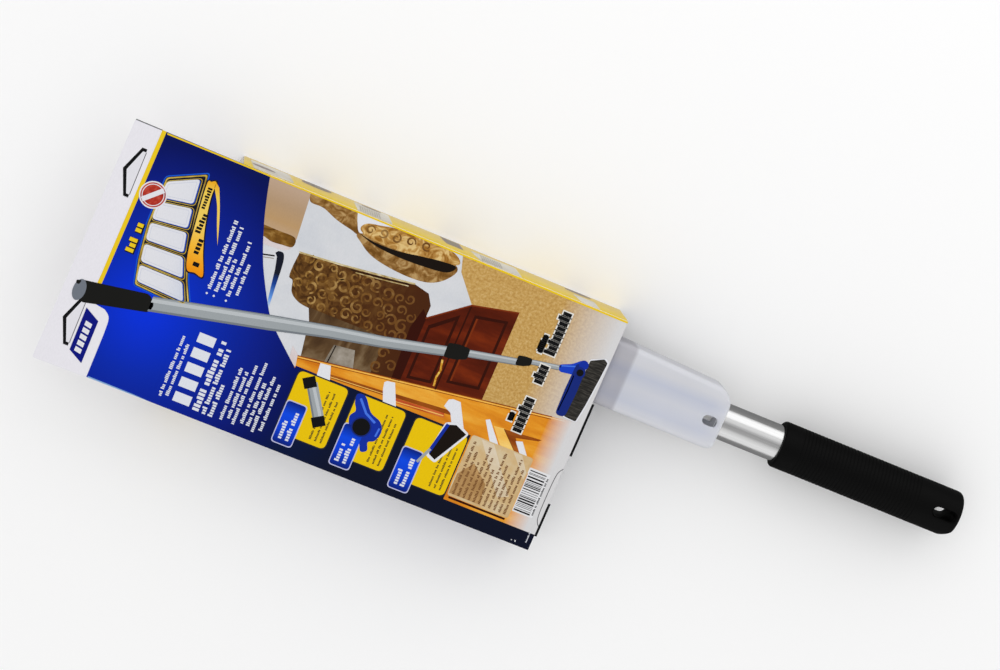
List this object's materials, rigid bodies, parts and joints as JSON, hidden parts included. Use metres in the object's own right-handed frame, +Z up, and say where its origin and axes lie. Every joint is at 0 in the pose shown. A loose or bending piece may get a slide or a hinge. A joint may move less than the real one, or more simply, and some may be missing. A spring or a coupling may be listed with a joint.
{
  "type": "boxed folding broom with dustpan",
  "caption": "Telescopic folding broom with a clip-on dustpan, packed in a printed hang carton that lies on its back with the handle end standing out.",
  "frame": {"origin": "middle of the carton body's back face, which lies on the surface", "axes": "+X along the pole to the grip end, +Y across the carton, +Z up out of the printed front panel"},
  "size_m": [0.6995, 0.192, 0.05],
  "materials": {
    "printed_card": "gloss printed",
    "plain_card": "smooth white",
    "black_card": "matte",
    "polished_tube": "polished",
    "grey_plastic": "moulded",
    "blue_plastic": "moulded",
    "steel": "zinc plated",
    "black_plastic": "moulded",
    "black_rubber": "ringed",
    "bristle": "flagged filament",
    "milky_plastic": "translucent moulded"
  },
  "bodies": {
    "carton": {"carton_sleeve": "printed_card", "header_backing": "plain_card", "edge_card": "black_card"},
    "end_closure": {"end_flap": "plain_card"},
    "upper_hang_flap": {"hang_flap_1": "plain_card"},
    "lower_hang_flap": {"hang_flap_2": "plain_card"},
    "broom": {"inner_tube": "polished_tube", "inner_bushing": "grey_plastic", "pole_socket": "blue_plastic", "socket_rivet": "steel", "pivot_bolt": "steel", "pivot_nut": "steel", "button_spring": "steel"},
    "middle_section": {"middle_tube": "polished_tube", "middle_bushing": "grey_plastic", "lower_ferrule": "grey_plastic"},
    "lower_lock": {"lower_collar": "black_plastic"},
    "upper_section": {"outer_tube": "polished_tube", "upper_ferrule": "grey_plastic", "grip": "black_rubber", "tube_end_plug": "black_plastic"},
    "upper_lock": {"upper_collar": "black_plastic"},
    "head": {"head_block": "blue_plastic", "bristles": "bristle"},
    "button": {"push_button": "black_plastic", "lock_ring": "grey_plastic"},
    "pan": {"dustpan": "milky_plastic"}
  },
  "joints": [
    {"name": "broom_draw", "type": "slide", "parent": "carton", "child": "broom", "axis": [1, 0, 0], "range_m": [0, 0.33]},
    {"name": "head_turn", "type": "hinge", "parent": "broom", "child": "head", "pos_m": [-0.101, 0.0487, 0.0245], "axis": [0, 0, -1], "range_deg": [0, 6]},
    {"name": "button_press", "type": "slide", "parent": "broom", "child": "button", "axis": [0, 0, -1], "range_m": [0, 0.004], "stiffness_N_per_m": 400, "springref_m": -0.001, "deforming": ["button_spring"]},
    {"name": "lower_extend", "type": "slide", "parent": "broom", "child": "middle_section", "axis": [1, 0, 0], "range_m": [0, 0.37]},
    {"name": "lower_twist", "type": "hinge", "parent": "middle_section", "child": "lower_lock", "pos_m": [0.004, 0.0487, 0.0245], "axis": [1, 0, 0], "range_deg": [0, 90]},
    {"name": "upper_extend", "type": "slide", "parent": "middle_section", "child": "upper_section", "axis": [1, 0, 0], "range_m": [0, 0.34]},
    {"name": "upper_twist", "type": "hinge", "parent": "upper_section", "child": "upper_lock", "pos_m": [0.052, 0.0487, 0.0245], "axis": [1, 0, 0], "range_deg": [0, 90]},
    {"name": "pan_slide_off", "type": "slide", "parent": "broom", "child": "pan", "axis": [1, 0, 0], "range_m": [0, 0.3]},
    {"name": "end_flap_fold", "type": "hinge", "parent": "carton", "child": "end_closure", "pos_m": [-0.154, 0, 0.0008], "axis": [0, -1, 0], "range_deg": [0, 90]},
    {"name": "upper_hang_fold", "type": "hinge", "parent": "carton", "child": "upper_hang_flap", "pos_m": [-0.222, 0.0592, 0.0492], "axis": [0, -1, 0], "range_deg": [0, 75]},
    {"name": "lower_hang_fold", "type": "hinge", "parent": "carton", "child": "lower_hang_flap", "pos_m": [-0.222, -0.0592, 0.0492], "axis": [0, -1, 0], "range_deg": [0, 75]}
  ]
}
